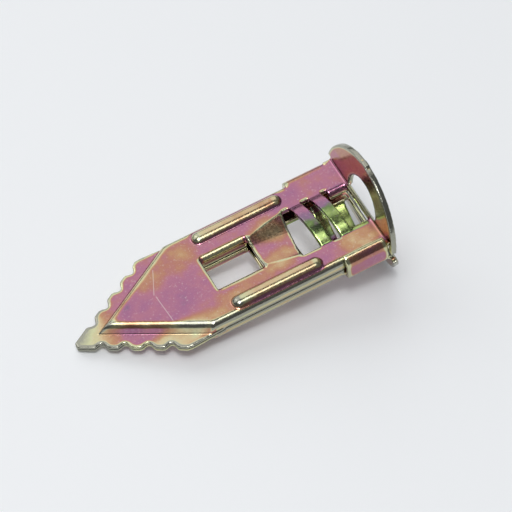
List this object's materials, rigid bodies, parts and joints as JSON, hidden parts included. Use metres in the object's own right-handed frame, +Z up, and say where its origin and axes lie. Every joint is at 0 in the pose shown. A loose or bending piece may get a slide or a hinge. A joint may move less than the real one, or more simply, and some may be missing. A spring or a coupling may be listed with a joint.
{
  "type": "drive-in drywall anchor",
  "caption": "Flat pointed sheet-steel wall anchor of two crimped half shells, with a serrated blade, cross straps that grip a screw, and a round flange in two halves.",
  "frame": {"origin": "on the ground under the middle of the part as it lies at rest on the corner of its lower panel and on its flange rim", "axes": "+X along the anchor's length from the tip to the flange, level with the ground, and +Z up; the anchor's own axis rises from the tip to the flange in the XZ plane"},
  "size_m": [0.0374, 0.015, 0.0149],
  "materials": {
    "yellow_chromate_steel": "zinc plated and iridescent yellow chromated, pink to gold and green, with fine scratches"
  },
  "bodies": {
    "root": {"upper_shell": "yellow_chromate_steel", "lower_shell": "yellow_chromate_steel"}
  },
  "joints": []
}
